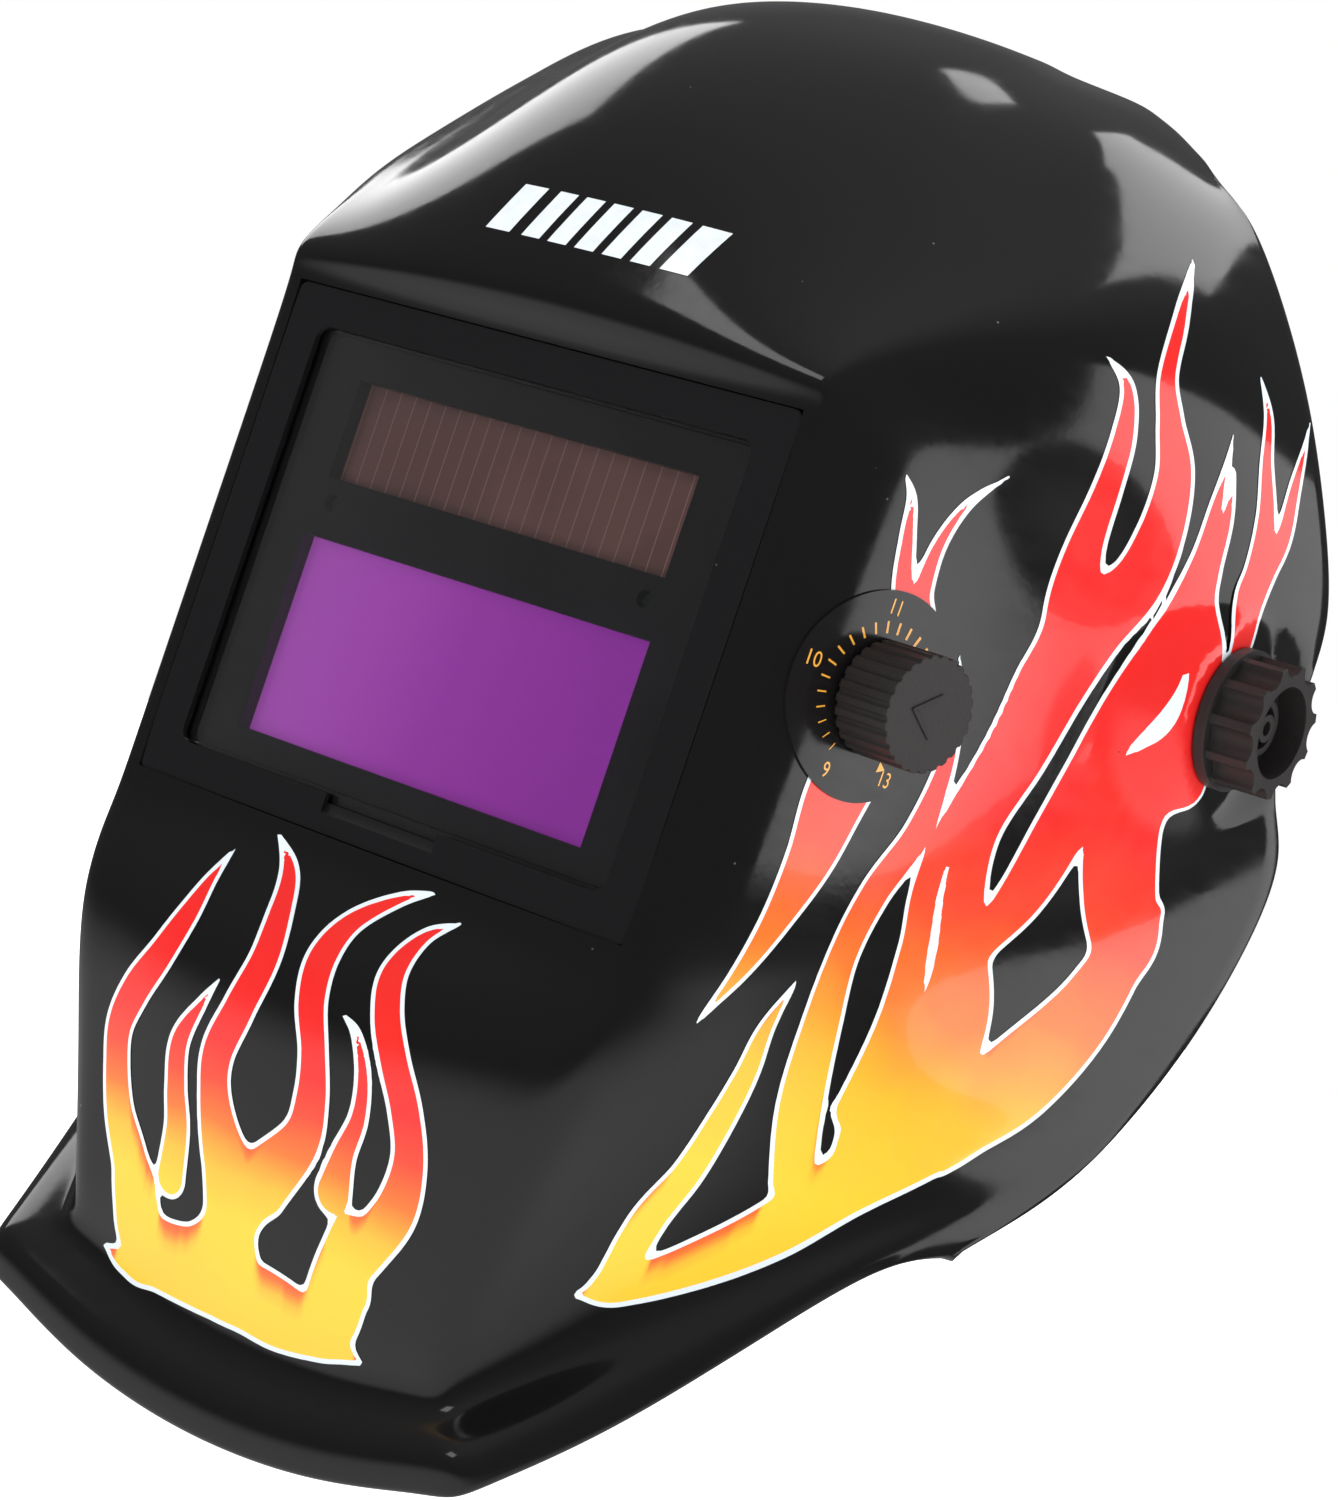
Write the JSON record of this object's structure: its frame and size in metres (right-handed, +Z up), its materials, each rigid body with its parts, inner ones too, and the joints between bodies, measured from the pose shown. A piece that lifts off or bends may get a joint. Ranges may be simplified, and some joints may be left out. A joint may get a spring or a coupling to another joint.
{
  "type": "welding helmet",
  "caption": "Auto-darkening welding helmet: gloss shell with flames, filter cartridge in a square window, side shade dial, and ratchet head gear on tilt knobs.",
  "frame": {"origin": "middle of the tilt-pivot axis, between the wearer's temples", "axes": "+X the wearer's left, -Y forwards through the window, +Z up"},
  "size_m": [0.2542, 0.2789, 0.3284],
  "materials": {
    "shell_black": "gloss, moulded",
    "bezel_black": "satin gloss",
    "cover_clear": "clear polycarbonate",
    "cartridge_black": "fine moulded texture",
    "filter_purple": "coated filter glass",
    "lcd_glass": "liquid crystal cell",
    "solar_brown": "solar cell behind glass",
    "board_green": "solder mask",
    "steel": "zinc plated",
    "brass": "turned",
    "knob_black": "matte moulded",
    "dial_black": "printed film",
    "cable_black": "jacket",
    "band_grey": "flexible nylon",
    "sweat_fabric": "brushed towelling over foam",
    "pad_fabric": "foam backed fabric",
    "washer_nylon": "natural nylon"
  },
  "bodies": {
    "headgear": {"headband_front": "band_grey", "sweatband": "sweat_fabric", "crown_strap_left": "band_grey", "crown_strap_right": "band_grey", "crown_strap_pegs": "band_grey", "crown_rivets": "band_grey", "side_bracket_left": "band_grey", "side_bracket_right": "band_grey", "bracket_rivets": "band_grey", "pivot_studs": "steel", "friction_washers": "washer_nylon", "clamp_washers": "washer_nylon"},
    "helmet_shell": {"shell": "shell_black", "bezel_frame": "bezel_black", "cover_lens": "cover_clear", "cartridge_front_case": "cartridge_black", "uv_ir_filter": "filter_purple", "lcd_cell_front": "lcd_glass", "lcd_cell_rear": "lcd_glass", "solar_panel": "solar_brown", "arc_sensors": "lcd_glass", "circuit_board": "board_green", "battery_cells": "steel", "sensitivity_trimmer": "cartridge_black", "delay_trimmer": "cartridge_black", "cartridge_rear_case": "cartridge_black", "retainer_frame": "bezel_black", "inner_cover_lens": "cover_clear", "retainer_screws": "steel", "shade_dial_plate": "dial_black", "shade_potentiometer": "steel", "shade_washer": "steel", "shade_nut": "brass", "cable_gland": "cable_black", "shade_cable": "cable_black"},
    "shade_dial": {"shade_knob": "knob_black", "shade_shaft": "steel"},
    "sensitivity_dial": {"sensitivity_knob": "knob_black"},
    "delay_dial": {"delay_knob": "knob_black"},
    "left_knob": {"tension_knob_left": "knob_black", "knob_insert_left": "brass"},
    "right_knob": {"tension_knob_right": "knob_black", "knob_insert_right": "brass"},
    "rear_unit": {"rear_strap_left": "band_grey", "rear_strap_right": "band_grey", "slide_pegs": "band_grey", "ratchet_housing": "band_grey", "ratchet_cover": "band_grey", "ratchet_screws": "steel", "pawl_spring": "steel", "nape_pad": "pad_fabric"},
    "ratchet": {"ratchet_knob": "knob_black", "ratchet_pinion": "washer_nylon"},
    "angle_stop": {"angle_stop_lever": "knob_black"}
  },
  "joints": [
    {"name": "flip_up", "type": "hinge", "parent": "headgear", "child": "helmet_shell", "pos_m": [0, 0, 0], "axis": [-1, 0, 0], "range_deg": [0, 70]},
    {"name": "shade_turn", "type": "hinge", "parent": "helmet_shell", "child": "shade_dial", "pos_m": [0.08246, -0.0815, -0.021], "axis": [0.9769, -0.2127, -0.0186], "range_deg": [0, 270]},
    {"name": "sensitivity_turn", "type": "hinge", "parent": "helmet_shell", "child": "sensitivity_dial", "pos_m": [-0.038, -0.0908, -0.0017], "axis": [0, 1, 0], "range_deg": [0, 270]},
    {"name": "delay_turn", "type": "hinge", "parent": "helmet_shell", "child": "delay_dial", "pos_m": [0.038, -0.0908, -0.0017], "axis": [0, 1, 0], "range_deg": [0, 270]},
    {"name": "left_knob_turn", "type": "hinge", "parent": "headgear", "child": "left_knob", "pos_m": [0.11511, 0, 0], "axis": [1, 0, 0], "range_deg": [0, 360]},
    {"name": "right_knob_turn", "type": "hinge", "parent": "headgear", "child": "right_knob", "pos_m": [-0.11511, 0, 0], "axis": [-1, 0, 0], "range_deg": [0, 360]},
    {"name": "head_size", "type": "slide", "parent": "headgear", "child": "rear_unit", "axis": [0, -0.9781, 0.2079], "range_m": [0, 0.012]},
    {"name": "ratchet_turn", "type": "hinge", "parent": "rear_unit", "child": "ratchet", "pos_m": [0, 0.14672, -0.03119], "axis": [0, 0.9781, -0.2079], "range_deg": [0, 137.5]},
    {"name": "angle_stop_turn", "type": "hinge", "parent": "headgear", "child": "angle_stop", "pos_m": [-0.104, 0, 0], "axis": [1, 0, 0], "range_deg": [-10, 10]}
  ],
  "couplings": [
    {"joint": "head_size", "follows": "ratchet_turn", "m_per_rad": 0.005}
  ]
}
